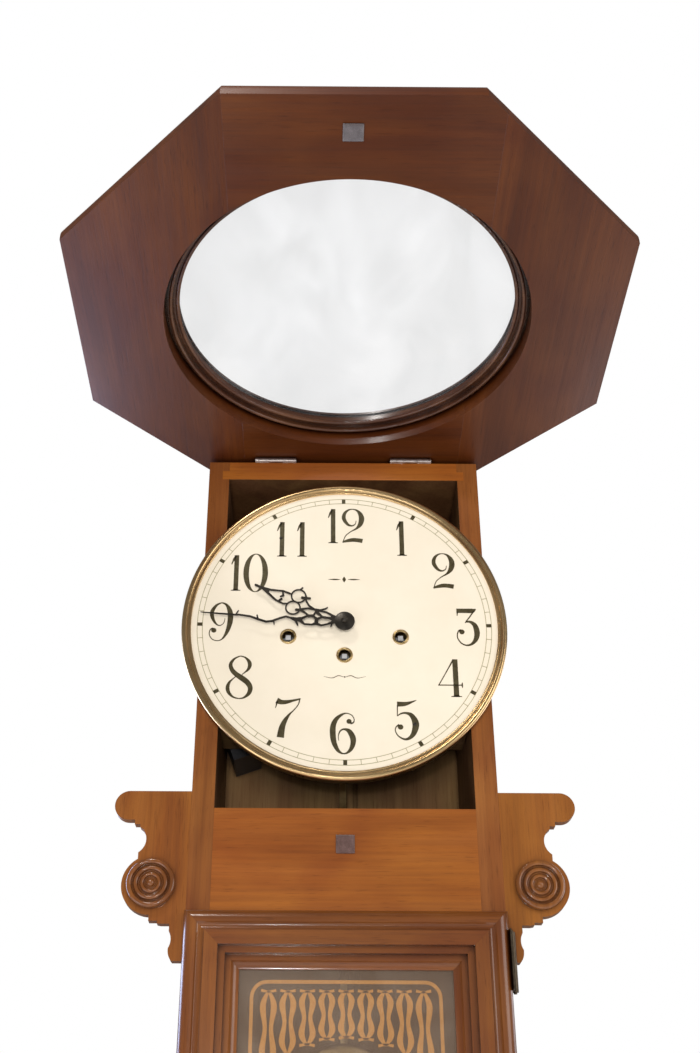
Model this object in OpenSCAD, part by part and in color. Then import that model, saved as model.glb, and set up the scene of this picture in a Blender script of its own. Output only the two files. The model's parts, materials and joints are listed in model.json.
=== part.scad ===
/* [Case] */
// Width of the case over its sides
case_w = 280; // [270:1:290]
// Depth of the case from the wall to its front edges
case_d = 140; // [138:1:150]
// Height of the case from its bottom board to its top
case_h = 796; // [790:1:820]
// Thickness of the side, top and bottom boards
board_t = 21; // [20:1:22]
// Thickness of the two back boards
back_t = 6; // [5:1:8]

/* [Hood] */
// Width of the octagonal hood across its flats
hood_af = 503; // [500:1:506]
// Thickness of the hood's boards
hood_t = 19; // [18:1:20]
// Radius of the round opening in the hood
hood_hole_r = 170.5; // [168:0.5:172]
// Angle by which the hood is lifted at rest
hood_angle = 95.7; // [80:0.1:96]

/* [Dial] */
// Radius of the dial plate
dial_r = 150; // [149:0.5:151]
// Distance of the dial's face in front of the case
dial_proud = 14; // [13:1:15]
// Hour shown by the hour hand, as an angle clockwise from twelve
hour_angle = 293; // [0:1:360]
// Minute hand's angle clockwise from twelve
minute_angle = 275.5; // [0:0.5:360]

/* [Door] */
// Height of the door
door_h = 319; // [300:1:330]
// Thickness of the door frame
door_t = 21; // [19:1:24]
// Width of each door frame member, from the outer edge to the glass
door_frame_w = 49; // [46:1:50]

/* [Pendulum] */
// Distance from the pivot to the middle of the bob
pendulum_l = 461; // [440:1:465]
// Radius of the bob
bob_r = 51; // [45:1:53]

/* [Hidden] */
$fn = 96;

// Frame: the origin is the hanger's hole at the wall, +Z up, the front faces -Y.
half_w = case_w / 2;
inner_w = half_w - board_t;
front_y = -case_d;
case_top_z = 40;
case_bottom_z = case_top_z - case_h;
dial_z = case_top_z - 196;
dial_y = front_y - dial_proud;
back_y = -8;
seam_x = 13.5;
dado = 7;

// Heights on the case front
rail_top_z = dial_z - 178.5;
rail_bottom_z = dial_z - 302;
wing_top_z = dial_z - 163;
rosette_x = 171.6;
rosette_z = dial_z - 248;
rosette_r = 21.5;
wing_t = 10;
pad_w = 17;
pad_t = 1.4;
rail_pad_z = dial_z - 211.6;

// Hood, described closed, then swung about its hinge
hinge_z = case_top_z + 3;
hood_gap = 3;
hood_y = front_y - hood_gap;
hood_z = dial_z + 5.4;
hood_reach = 260;
ring_lip_r = 156.8;
glass_bead_r = ring_lip_r + 1.6;
seam_left_x = -104;
seam_right_x = 121;
hood_edge_t = 6;
hinge_x = 71;
hinge_w = 43;
barrel_r = 2.75;
pin_r = 1.2;
running = 0.05;
leaf_t = 1.2;

// Door
door_gap = 1.5;
door_top_z = dial_z - 273;
door_back_y = front_y - door_gap;
door_hinge_r = 3;
door_hinge_l = 50;
door_hinge_x = half_w + door_hinge_r + 0.2;
door_hinge_y = front_y - door_hinge_r - 0.2;
door_hinge_inset = 16;

// Movement
plate_t = 2.5;
plate_front_y = -126;
plate_back_y = -66;
time_x = 0;
time_z = dial_z - 31.9;
side_arbor_x = 54.2;
side_arbor_z = dial_z - 12.6;
arbor_r = 3.2;
square_w = 5;
barrel_drum_r = 27;
pivot_z = dial_z + 44;
escape_z = dial_z + 14;
escape_r = 17;
pendulum_y = -46;
rod_w = 6.5;
rod_t = 2.5;
bob_z = pivot_z - pendulum_l;
slip = 0.1;

// Motion work: 12 and 36 teeth, then 10 and 40 teeth, on one centre distance
centre_d = 19.2;
gear_y = front_y + 5;
wheel_angle = 60;
hour_hand_y = dial_y - 5.5;
minute_hand_y = dial_y - 8.5;
hub_h = 2.4;
hand_t = 0.9;

module block(low, high) translate(low) cube(high - low);

// Extrudes an outline drawn in X and Z from the plane y towards the front.
module towards_front(y, depth) translate([0, y, 0]) rotate([90, 0, 0]) linear_extrude(depth) children();

// Turns a profile of radius and depth about an axis along Y, deeper being further to the front.
module turned(x, y, z) translate([x, y, z]) rotate([90, 0, 0]) rotate_extrude() children();

module rod_y(x, y0, y1, z, r) translate([x, y0, z]) rotate([-90, 0, 0]) cylinder(h = y1 - y0, r = r);

module swung() translate([0, front_y, hinge_z]) rotate([-hood_angle, 0, 0]) translate([0, -front_y, -hinge_z])
    children();

// ---- Case ----

module case_side(s) {
    x0 = s < 0 ? -half_w : inner_w;
    color("#9a5a28") difference() {
        block([x0, front_y, case_bottom_z], [x0 + board_t, 0, case_top_z]);
        tongue_groove(s, case_top_z - board_t);
        tongue_groove(s, case_bottom_z);
    }
}

module tongue_groove(s, z) block([min(s * inner_w, s * (inner_w + dado)), front_y, z],
    [max(s * inner_w, s * (inner_w + dado)), 0, z + board_t / 2]);

module tongued_board(z) {
    block([-inner_w, front_y, z], [inner_w, 0, z + board_t]);
    block([-inner_w - dado, front_y, z], [inner_w + dado, 0, z + board_t / 2]);
}

module case_top() color("#9a5a28") tongued_board(case_top_z - board_t);

module case_bottom() color("#9a5a28") tongued_board(case_bottom_z);

// A back board; a shallow groove on the inner face marks the joint between the two.
module back_board(x0, x1) color("#4a3628") difference() {
    block([x0, back_y, case_bottom_z + board_t], [x1, back_y + back_t, case_top_z - board_t]);
    block([seam_x - 2.5, back_y - 1, case_bottom_z], [seam_x + 2.5, back_y + 3, case_top_z]);
    rod_y(0, back_y + 1, back_y + back_t + 1, 0, 9);
}

module front_rail() color("#9a5a28") block([-inner_w, front_y, rail_bottom_z],
    [inner_w, front_y + board_t, rail_top_z]);

// Outline of the right wing, with Z measured from its top edge.
module wing_outline() difference() {
    union() {
        translate([half_w, -27]) square([55.8, 27]);
        translate([195.8, -13.5]) circle(r = 13.5);
        translate([half_w, -31]) square([50, 8]);
        translate([half_w, -117]) square([32, 89]);
        translate([half_w, -70]) square([45, 44]);
        translate([rosette_x, -85.5]) circle(r = 26.5);
        translate([half_w, -142.5]) square([13.5, 27]);
        translate([half_w, -142]) intersection() {
            circle(r = 13.5);
            translate([0, -9]) square([14, 9]);
        }
        translate([half_w, -119.5]) square([24.5, 4]);
    }
    translate([192.7, -45]) circle(r = 14);
    translate([165.5, -133]) circle(r = 14);
}

module wing(s) color("#9a5a28") translate([0, front_y + wing_t, wing_top_z]) rotate([90, 0, 0])
    linear_extrude(wing_t) scale([s, 1]) wing_outline();

// Turned bullseye: rings of half-round beads round a button with a small pit.
module rosette(s) color("#3c2318") turned(s * rosette_x, front_y, rosette_z) {
    difference() {
        union() {
            square([rosette_r, 4.5]);
            intersection() {
                union() {
                    for (bead = [[19.2, 2.3], [13.2, 1.9], [7.6, 1.6]])
                        translate([bead[0], 4.5]) circle(r = bead[1]);
                    translate([0, 3.6]) circle(r = 3.8);
                }
                square([rosette_r, 12]);
            }
        }
        translate([0, 8.6]) circle(r = 1.6);
        for (groove = [[16.3, 0.9], [10.4, 0.9], [5.2, 0.8]]) translate([groove[0], 4.7]) circle(r = groove[1]);
        translate([-9, -1]) square([9, 20]);
    }
}

// Mitred moulding that runs round the front and both ends of the base.
module base_profile() {
    square([6, 22]);
    translate([6, 14]) square([5, 8]);
    translate([6, 0]) square([14, 8]);
    translate([20, 4]) circle(r = 4);
    difference() {
        translate([6, 8]) square([6, 6]);
        translate([12, 14]) circle(r = 6);
    }
}

base_h = 22;
base_x = half_w;
base_y = front_y - 18;

module base_moulding() color("#9a5a28") translate([0, 0, case_bottom_z - base_h]) intersection() {
    rotate([90, 0, 0]) linear_extrude(500, center = true) for (s = [-1, 1]) scale([s, 1]) {
        square([base_x, base_h]);
        translate([base_x, 0]) base_profile();
    }
    rotate([90, 0, -90]) linear_extrude(500, center = true) {
        square([-base_y, base_h]);
        translate([-base_y, 0]) base_profile();
    }
}

// Shaped board under the base, with a cove each side of a rounded middle drop.
module apron() color("#9a5a28") towards_front(front_y + 30, 24) translate([0, case_bottom_z - base_h])
    difference() {
        union() {
            translate([-122, -20]) square([244, 20]);
            translate([-70, -34]) square([140, 34]);
            translate([0, -28]) circle(r = 24);
        }
        for (s = [-1, 1]) {
            translate([s * 88, -36]) circle(r = 20);
            translate([s * 42, -52]) circle(r = 22);
        }
    }

module hanger_plate() color("#8f8f90") difference() {
    block([-22, back_y + back_t, -14], [22, 0, case_top_z - board_t]);
    rod_y(0, back_y, 1, 0, 5);
}

module rail_pad() color("#77746e") block([-pad_w / 2, front_y - pad_t, rail_pad_z - pad_w / 2],
    [pad_w / 2, front_y, rail_pad_z + pad_w / 2]);

module seat_board() color("#7a5a3a") block([-inner_w, -122, dial_z - 92], [inner_w, -60, dial_z - 80]);

// ---- Hood hinges and door hinges ----

module knuckle_x(x0, x1, bore) difference() {
    translate([x0, front_y, hinge_z]) rotate([0, 90, 0]) cylinder(h = x1 - x0, r = barrel_r);
    if (bore > 0) translate([x0 - 1, front_y, hinge_z]) rotate([0, 90, 0])
        cylinder(h = x1 - x0 + 2, r = bore);
}

// The case leaf lies on the case top and carries the outer knuckles and the pin.
module hood_hinge_case_leaf(s) color("#b08a4a") {
    x0 = s * hinge_x - hinge_w / 2;
    x1 = x0 + hinge_w;
    k = hinge_w / 3;
    knuckle_x(x0, x0 + k, 0);
    knuckle_x(x1 - k, x1, 0);
    translate([x0, front_y, hinge_z]) rotate([0, 90, 0]) cylinder(h = hinge_w, r = pin_r);
    block([x0, front_y + 3, case_top_z], [x1, front_y + 20, case_top_z + leaf_t]);
    for (x = [x0, x1 - k]) block([x, front_y, case_top_z], [x + k, front_y + 4, case_top_z + leaf_t]);
}

// The hood leaf lies on the hood's inner face above the hinge line.
module hood_hinge_hood_leaf(s) color("#b08a4a") swung() {
    k = hinge_w / 3;
    x0 = s * hinge_x - hinge_w / 2;
    xm = x0 + k + 0.15;
    xn = x0 + 2 * k - 0.15;
    knuckle_x(xm, xn, pin_r + running);
    block([x0, hood_y, hinge_z + 3], [x0 + hinge_w, hood_y + leaf_t, hinge_z + 20]);
    difference() {
        block([xm, hood_y, hinge_z], [xn, hood_y + leaf_t, hinge_z + 4]);
        translate([xm - 1, front_y, hinge_z]) rotate([0, 90, 0]) cylinder(h = k + 2, r = barrel_r - 0.6);
    }
}

module door_knuckle(z0, z1) translate([door_hinge_x, door_hinge_y, z0]) cylinder(h = z1 - z0, r = door_hinge_r);

function door_hinge_z(top) = top ? door_top_z - door_hinge_inset - door_hinge_l
    : door_top_z - door_h + door_hinge_inset;

// The case leaf lies on the case front behind the door and carries the outer knuckles and the pin.
module door_hinge_case_leaf(top) color("#b08a4a") {
    z = door_hinge_z(top);
    k = door_hinge_l * 0.22;
    for (z0 = [z, z + door_hinge_l - k]) {
        door_knuckle(z0, z0 + k);
        block([half_w - 2, front_y - leaf_t, z0], [door_hinge_x, front_y, z0 + k]);
    }
    translate([door_hinge_x, door_hinge_y, z - 1.5]) cylinder(h = door_hinge_l + 3, r = 1.5);
    block([half_w - 18, front_y - leaf_t, z], [half_w - 1, front_y, z + door_hinge_l]);
}

// The door leaf lies on the door's outer edge and carries the middle knuckle.
module door_hinge_door_leaf(top) color("#b08a4a") {
    z = door_hinge_z(top);
    k = door_hinge_l * 0.22 + 0.15;
    difference() {
        union() {
            door_knuckle(z + k, z + door_hinge_l - k);
            block([half_w, door_hinge_y - 3.5, z + k], [half_w + leaf_t, door_hinge_y, z + door_hinge_l - k]);
        }
        translate([door_hinge_x, door_hinge_y, z]) cylinder(h = door_hinge_l, r = 1.5 + running);
    }
    block([half_w, door_back_y - 17, z], [half_w + leaf_t, door_hinge_y - 3.2, z + door_hinge_l]);
}

// ---- Dial ----

module winding_holes(r) {
    rod_y(time_x, dial_y - 1, dial_y + 3, time_z, r);
    for (s = [-1, 1]) rod_y(s * side_arbor_x, dial_y - 1, dial_y + 3, side_arbor_z, r);
}

dial_screw_pos = [[-63, 96.5], [65, -102]];

module dial_plate() color("#f3edda") difference() {
    rod_y(0, dial_y, dial_y + 1.2, dial_z, dial_r);
    rod_y(0, dial_y - 1, dial_y + 2, dial_z, 5);
    winding_holes(6.5);
    for (p = dial_screw_pos) rod_y(p[0], dial_y - 1, dial_y + 2, dial_z + p[1], 1);
}

// Spun ring: a skirt standing on the case front, a rolled rim and a sloping inner lip.
module dial_bezel() color("#8a6c3c") turned(0, front_y, dial_z) difference() {
    union() {
        translate([150, 0]) square([5, 1.2]);
        translate([153.5, 0]) square([1.5, 15.6]);
        translate([148.4, dial_proud]) square([6.6, 1.6]);
        translate([154.5, 14.5]) circle(r = 3);
        translate([149.4, dial_proud + 1]) circle(r = 1);
    }
    translate([148, dial_proud - 5]) square([2, 5]);
    translate([150, 2]) square([3.5, 12]);
}

module winding_eyelets() color("#b08a4a") for (p = [[time_x, time_z], [side_arbor_x, side_arbor_z],
    [-side_arbor_x, side_arbor_z]]) turned(p[0], dial_y, p[1]) {
        translate([5.6, -1.2]) square([0.9, 1.2]);
        intersection() {
            translate([6.8, 0]) circle(r = 1.2);
            translate([5.6, 0]) square([3, 3]);
        }
    }

module dial_screws() color("#6b7078") for (p = dial_screw_pos) {
    turned(p[0], dial_y, dial_z + p[1]) intersection() {
        translate([0, -1.2]) circle(r = 2.2);
        square([3, 3]);
    }
    rod_y(p[0], dial_y, dial_y + 5, dial_z + p[1], 1);
}

// ---- Movement ----

module plate_outline() difference() {
    translate([-88, -70]) square([176, 130]);
    for (s = [-1, 1]) translate([s * 88, 60]) circle(r = 24);
}

pillar_pos = [[-80, -60], [80, -60], [-58, 50], [58, 50]];

module movement_front_plate() color("#b8934f") difference() {
    translate([0, plate_front_y, dial_z]) rotate([90, 0, 0]) linear_extrude(plate_t) plate_outline();
    for (s = [-1, 1]) rod_y(s * side_arbor_x, -140, -120, side_arbor_z, arbor_r + running);
    rod_y(time_x, -140, -120, time_z, arbor_r + running);
    rod_y(0, -140, -120, dial_z, 1.5 + running);
    rod_y(0, -140, -120, pivot_z, 1 + running);
    rod_y(0, -140, -120, escape_z, 1 + running);
}

module movement_back_plate() color("#b8934f") {
    difference() {
        translate([0, plate_back_y, dial_z]) rotate([90, 0, 0]) linear_extrude(plate_t) plate_outline();
        for (s = [-1, 1]) rod_y(s * side_arbor_x, -80, -60, side_arbor_z, arbor_r + running);
        rod_y(time_x, -80, -60, time_z, arbor_r + running);
        rod_y(0, -80, -60, pivot_z, 1 + running);
        rod_y(0, -80, -60, escape_z, 1 + running);
    }
    for (p = pillar_pos) rod_y(p[0], plate_front_y, plate_back_y - plate_t, dial_z + p[1], 4);
    // Lugs that carry the plates on the seat board.
    for (s = [-1, 1]) {
        block([s * 70 - 8, plate_front_y + 6, dial_z - 80], [s * 70 + 8, plate_back_y, dial_z - 77.5]);
        block([s * 70 - 8, plate_back_y - plate_t, dial_z - 80], [s * 70 + 8, plate_back_y, dial_z - 69]);
    }
    // Bracket behind the plate that holds the pendulum's pin on the anchor's axis.
    block([14, plate_back_y - 1, pivot_z - 4], [20, pendulum_y + 8, pivot_z + 4]);
    block([-3, pendulum_y + 5, pivot_z - 4], [20, pendulum_y + 8, pivot_z + 4]);
    rod_y(0, pendulum_y - 3, pendulum_y + 6, pivot_z, 1.5);
}

module drum(x, z) difference() {
    rod_y(x, plate_front_y + 6, plate_back_y - plate_t - 4, z, barrel_drum_r);
    rod_y(x, plate_front_y, plate_back_y, z, arbor_r + running);
}

module spring_barrels() color("#c7a560") {
    drum(time_x, time_z);
    for (s = [-1, 1]) drum(s * side_arbor_x, side_arbor_z);
}

module winding_arbor(x, z) color("#8d8d90") {
    rod_y(x, -131, plate_back_y + 3, z, arbor_r);
    block([x - square_w / 2, dial_y + 2.5, z - square_w / 2], [x + square_w / 2, -131, z + square_w / 2]);
    // Ratchet wheel in front of the front plate.
    translate([x, -130.5, z]) rotate([90, 0, 0]) linear_extrude(2) union() {
        circle(r = 9);
        for (a = [0:20:340]) rotate(a) polygon([[0, 8], [2.6, 8.4], [0, 10.6]]);
    }
}

// Rods screwed into a cast block on the back board, tuned by their length.
module chime_rods() {
    color("#26262a") translate([-108.2, back_y, dial_z - 103]) rotate([0, -20, 0]) translate([0, -50, 0])
        cube([27, 50, 30]);
    color("#b08a4a") for (i = [0:4]) translate([-98, back_y - 44, dial_z - 73 - i * 4.5]) rotate([0, 90, 0])
        cylinder(h = 208 - i * 9, r = 1.5);
}

module anchor() color("#8d8d90") {
    rod_y(0, plate_front_y - plate_t, plate_back_y + 6, pivot_z, 1);
    towards_front(plate_back_y - 10, 4) translate([0, pivot_z]) {
        circle(r = 4);
        for (s = [-1, 1]) {
            hull() {
                circle(r = 2);
                translate([s * 15, -13]) circle(r = 1.5);
            }
            hull() {
                translate([s * 15, -13]) circle(r = 1.5);
                translate([s * 14.5, -18.5]) circle(r = 0.8);
            }
        }
    }
    // Crutch with a fork round the pendulum rod.
    block([-2.5, plate_back_y + 2, pivot_z - 66], [2.5, plate_back_y + 4, pivot_z + 3]);
    for (s = [-1, 1]) block([s * 5.2 - 1.5, plate_back_y + 2, pivot_z - 66],
        [s * 5.2 + 1.5, pendulum_y + 2, pivot_z - 63]);
    block([-6.7, plate_back_y + 2, pivot_z - 66], [6.7, plate_back_y + 4, pivot_z - 63]);
}

module escape_wheel() color("#c7a560") {
    rod_y(0, -100, plate_back_y, escape_z, 1);
    towards_front(plate_back_y - 10.5, 3) translate([0, escape_z]) difference() {
        union() {
            circle(r = escape_r - 4);
            for (a = [0:12:348]) rotate(a)
                polygon([[-1.2, escape_r - 5], [1.2, escape_r - 5], [0.8, escape_r - 1]]);
        }
        for (a = [45:90:315]) rotate(a) translate([7, 0]) circle(r = 3.4);
    }
}

// Flat gear with short tapered teeth; the first tooth points along +X.
module gear(teeth, pitch_r) {
    m = 2 * pitch_r / teeth;
    circle(r = pitch_r - 1.1 * m);
    for (i = [0:teeth - 1]) rotate(i * 360 / teeth) polygon([
        [pitch_r - 1.3 * m, -0.8 * m], [pitch_r, -0.52 * m], [pitch_r + 0.6 * m, -0.26 * m],
        [pitch_r + 0.6 * m, 0.26 * m], [pitch_r, 0.52 * m], [pitch_r - 1.3 * m, 0.8 * m]]);
}

pinion_teeth = 12;
wheel_teeth = 36;
small_teeth = 10;
hour_teeth = 40;
wheel_x = centre_d * cos(wheel_angle);
wheel_z = dial_z + centre_d * sin(wheel_angle);

module cannon_pinion() color("#8d8d90") {
    rod_y(0, minute_hand_y - hub_h, -115, dial_z, 1.5);
    rod_y(0, minute_hand_y, gear_y + 6, dial_z, 2.2);
    towards_front(gear_y + 6, 3) translate([0, dial_z]) rotate(wheel_angle)
        gear(pinion_teeth, centre_d * pinion_teeth / (pinion_teeth + wheel_teeth));
}

// The minute wheel and its small pinion are one piece; a gap faces each mating tooth.
module minute_wheel() color("#c7a560") {
    towards_front(gear_y + 5.5, 2) translate([wheel_x, wheel_z]) rotate(wheel_angle + 180 + 180 / wheel_teeth)
        gear(wheel_teeth, centre_d * wheel_teeth / (pinion_teeth + wheel_teeth));
    towards_front(gear_y + 4, 4.5) translate([wheel_x, wheel_z]) rotate(wheel_angle + 180 + 180 / small_teeth)
        gear(small_teeth, centre_d * small_teeth / (small_teeth + hour_teeth));
    rod_y(wheel_x, gear_y + 3, plate_front_y - plate_t, wheel_z, 1.5);
}

module hour_wheel() color("#c7a560") difference() {
    union() {
        rod_y(0, hour_hand_y, gear_y + 2.5, dial_z, 3.4);
        towards_front(gear_y + 2.5, 1.6) translate([0, dial_z]) rotate(wheel_angle)
            gear(hour_teeth, centre_d * hour_teeth / (small_teeth + hour_teeth));
    }
    rod_y(0, -200, -100, dial_z, 2.2 + running);
}

// ---- Hands, drawn pointing up with X across ----

// A stroke along points [across, along, half width].
module stroke(points) for (i = [0:len(points) - 2]) hull() {
    translate([points[i][0], points[i][1]]) circle(r = points[i][2], $fn = 12);
    translate([points[i + 1][0], points[i + 1][1]]) circle(r = points[i + 1][2], $fn = 12);
}

module loop_ring(x, y, r) translate([x, y]) difference() {
    circle(r = r, $fn = 40);
    circle(r = r - 1.5, $fn = 40);
}

module hour_outline() {
    stroke([[3, 95.5, 1.2], [2.8, 88.5, 1.2], [4, 79.5, 1], [7.6, 68, 0.9], [7.6, 60.5, 0.9]]);
    stroke([[2.8, 88.5, 1.2], [-0.8, 79.5, 1.2], [-4.3, 71, 1], [-5, 63, 0.8], [-3.6, 59, 0.8]]);
    stroke([[2.5, 86.5, 1.4], [1.6, 82, 1.8]]);
    stroke([[6.5, 68, 0.8], [3, 66, 1.1], [1.2, 68, 0.8]]);
    stroke([[-4, 68, 0.8], [-1, 66, 1.1]]);
    loop_ring(8.4, 52, 7.7);
    loop_ring(-5.4, 52, 7.7);
    stroke([[8.2, 48, 1.4], [10.4, 41, 1.2]]);
    stroke([[-6, 48, 1.4], [-4, 43, 0.9]]);
    stroke([[16, 53, 0.8], [18.2, 52, 0.8]]);
    stroke([[11.4, 45.4, 0.9], [6.4, 43, 0.9], [2.8, 38.5, 0.9], [1.4, 32, 0.9], [2.8, 26.5, 0.9],
        [6, 22.5, 0.8], [8, 21.3, 0.6]]);
    stroke([[-3.5, 44, 0.9], [0, 38, 0.9], [1.6, 28, 0.9], [3, 20, 0.9], [2, 14, 1.2], [0, 5, 2.4]]);
    stroke([[-4.5, 44, 1.4], [-6, 38, 0.9], [-7.6, 34.5, 1.4], [-5, 30.4, 1], [1.2, 29.6, 0.8]]);
    stroke([[-1, 28, 1.6], [-3, 22, 0.8], [-1.5, 14, 1.2], [0, 5, 2.4]]);
}

module minute_outline() {
    stroke([[-4.6, 139, 0.35], [-4.4, 122, 0.7], [-4.1, 105, 0.9], [-3.8, 101, 0.9], [-4.4, 91, 1],
        [-6.7, 83, 1.1], [-8.5, 75, 1.1], [-7.3, 69.4, 1.1], [-3.3, 62, 1], [-1, 56.5, 1], [-2.1, 51.7, 1],
        [-4.8, 46.5, 1]]);
    for (p = [[-4.1, 105, 0.5, 103], [-6.8, 67.8, -10.5, 67]])
        stroke([[p[0], p[1], 0.8], [p[2], p[3], 0.5]]);
    stroke([[-6.7, 83, 0.8], [-2.6, 84.5, 0.7]]);
    stroke([[-2.1, 51.7, 1.2], [-3, 46, 1.8], [-2.8, 42.8, 2.6]]);
    stroke([[-4.8, 46.5, 1.2], [-9, 44.5, 0.8]]);
    stroke([[-3.5, 43, 1.8], [-7.4, 38, 0.9], [-7.2, 31, 0.9], [-5.4, 27, 1.6], [-7.2, 22, 0.9], [-5, 16, 0.9],
        [-2.5, 11, 1.6], [0, 8, 2.6]]);
    stroke([[-2.5, 43, 1.4], [1.8, 36, 0.9], [1.6, 30, 0.9], [-1, 27, 1.8]]);
    stroke([[-5.4, 27, 1.8], [-1, 27, 1.8]]);
    stroke([[-1, 27, 1.4], [1.8, 22, 0.9], [1.4, 15, 1], [0, 10, 1.8]]);
    stroke([[-4.5, 12, 0.8], [-7.2, 12.5, 0.7]]);
    stroke([[2, 12, 0.8], [5, 13.5, 0.8]]);
}

module hour_hand() color("#332e29") difference() {
    towards_front(hour_hand_y, hand_t) translate([0, dial_z]) rotate(-hour_angle) {
        hour_outline();
        circle(r = 6);
    }
    rod_y(0, -200, -100, dial_z, 2.2 + running);
}

module minute_hand() color("#332e29") difference() {
    union() {
        towards_front(minute_hand_y, hand_t) translate([0, dial_z]) rotate(-minute_angle) {
            minute_outline();
            circle(r = 9.8);
        }
        turned(0, minute_hand_y - hand_t, dial_z) intersection() {
            translate([0, -30]) circle(r = 31.5);
            square([9.8, 4]);
        }
    }
    rod_y(0, -200, -100, dial_z, 1.5);
}

module hand_nut() color("#4a423a") turned(0, minute_hand_y - hub_h, dial_z) intersection() {
    translate([0, 0.8]) circle(r = 3.2);
    square([4, 5]);
}

// ---- Pendulum ----

module pendulum_rod() color("#b08a4a") {
    difference() {
        union() {
            rod_y(0, pendulum_y - rod_t / 2, pendulum_y + rod_t / 2, pivot_z, 5);
            block([-rod_w / 2, pendulum_y - rod_t / 2, bob_z - 60],
                [rod_w / 2, pendulum_y + rod_t / 2, pivot_z]);
        }
        rod_y(0, -60, -30, pivot_z, 1.5 + running);
    }
    translate([0, pendulum_y, bob_z - 80]) cylinder(h = 21, r = 1.5);
}

module pendulum_bob() color("#c79a4b") difference() {
    union() {
        rod_y(0, pendulum_y - 6, pendulum_y + 6, bob_z, bob_r - 3);
        turned(0, pendulum_y, bob_z) translate([bob_r - 3.5, 0]) circle(r = 3.5);
        turned(0, pendulum_y + 4, bob_z) intersection() {
            translate([0, -112]) circle(r = 125);
            square([bob_r - 5, 20]);
        }
    }
    block([-rod_w / 2 - slip, pendulum_y - rod_t / 2 - slip, bob_z - bob_r - 5],
        [rod_w / 2 + slip, pendulum_y + rod_t / 2 + slip, bob_z + bob_r + 5]);
}

module rating_nut() color("#c79a4b") difference() {
    translate([0, pendulum_y, bob_z - 72]) cylinder(h = 5, r = 7);
    translate([0, pendulum_y, bob_z - 80]) cylinder(h = 20, r = 1.5 + running);
}

// ---- Hood ----

// One bar as wide as the octagon, with rounded front edges, lying along X.
module octagon_bar() {
    r = hood_t - hood_edge_t;
    rotate([90, 0, 90]) linear_extrude(700, center = true) {
        translate([0, -hood_af / 2]) square([hood_edge_t, hood_af]);
        translate([0, -hood_af / 2 + r]) square([hood_t, hood_af - 2 * r]);
        for (s = [-1, 1]) translate([hood_edge_t, s * (hood_af / 2 - r)]) circle(r = r);
    }
}

// The glazed octagon, closed: bars crossed at 45 degrees with the round opening cut out.
module hood_slab() translate([0, hood_y, hood_z]) rotate([0, 0, 180]) difference() {
    intersection_for(a = [0:45:135]) rotate([0, a, 0]) octagon_bar();
    rod_y(0, -50, 50, 0, hood_hole_r);
}

module hood_part(x0, x1, z0, z1) color("#6a3f26") swung() intersection() {
    hood_slab();
    block([x0, hood_y - 40, hood_z + z0], [x1, hood_y + 20, hood_z + z1]);
}

// Turned ring: a thin lip with a bead, a sleeve that fills the round opening, a rabbet for the glass.
module hood_ring() color("#7a4526") swung() turned(0, hood_y - hood_t, hood_z) difference() {
    union() {
        translate([glass_bead_r, 0]) square([192 - glass_bead_r, 4]);
        translate([ring_lip_r + 2, 0.6]) circle(r = 2);
        translate([163.8, -4.5]) square([4, 5]);
        translate([165, -4.5]) circle(r = 1.8);
        translate([160.5, 0]) square([26, 12]);
        translate([172, 11]) circle(r = 7.5);
        translate([184, 8]) circle(r = 4);
    }
    translate([150, 4]) square([10.5, 20]);
}

module hood_glass() color("#dfe8e6", 0.3) swung()
    rod_y(0, hood_y - hood_t - 11, hood_y - hood_t - 8, hood_z, 160);

module hood_glass_bead() color("#7a4526") swung() turned(0, hood_y - hood_t, hood_z) {
    translate([glass_bead_r, 4]) square([160 - glass_bead_r, 4]);
    translate([glass_bead_r, 11]) square([160 - glass_bead_r, 2.5]);
}

module hood_pad() color("#77746e") swung() block([-pad_w / 2, hood_y, rail_pad_z - pad_w / 2],
    [pad_w / 2, hood_y + pad_t, rail_pad_z + pad_w / 2]);

// ---- Door ----

// Cross-section of a door member: distance in from the outer edge, height above its back.
module door_profile() difference() {
    union() {
        square([door_frame_w, 9]);
        translate([9, 8]) circle(r = 9);
        translate([9, 0]) square([10, door_t - 4]);
        translate([19, 0]) square([12, door_t]);
        translate([9, 0]) square([28, door_t - 6]);
    }
    translate([-1, -9]) square([30, 9]);
    translate([14.5, door_t - 1.5]) circle(r = 4);
    translate([door_frame_w, 13]) circle(r = 8);
    translate([door_frame_w - 4.5, -1]) square([10, 4.2]);
}

module door_member(length, x, z, angle) color("#9a5a28") translate([x, door_back_y, z])
    rotate([0, angle, 0]) intersection() {
        translate([0, 0, -length / 2]) linear_extrude(length) scale([1, -1]) door_profile();
        rotate([90, 0, 0]) linear_extrude(60, center = true) polygon([[0, -length / 2], [0, length / 2],
            [door_frame_w, length / 2 - door_frame_w], [door_frame_w, door_frame_w - length / 2]]);
    }

door_mid_z = door_top_z - door_h / 2;

module door_glass() color("#cfd8d4", 0.35) block([-half_w + door_frame_w - 4.5, door_back_y - 3,
    door_top_z - door_h + door_frame_w - 4.5], [half_w - door_frame_w + 4.5, door_back_y - 0.2,
    door_top_z - door_frame_w + 4.5]);

module door_knob() color("#b08a4a") turned(-half_w + 25, door_back_y - door_t, door_mid_z - 20) difference() {
    union() {
        square([5, 1.5]);
        square([2.5, 10]);
        translate([0, 12]) circle(r = 6.5);
    }
    translate([-50, -1]) square([50, 40]);
}

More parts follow.
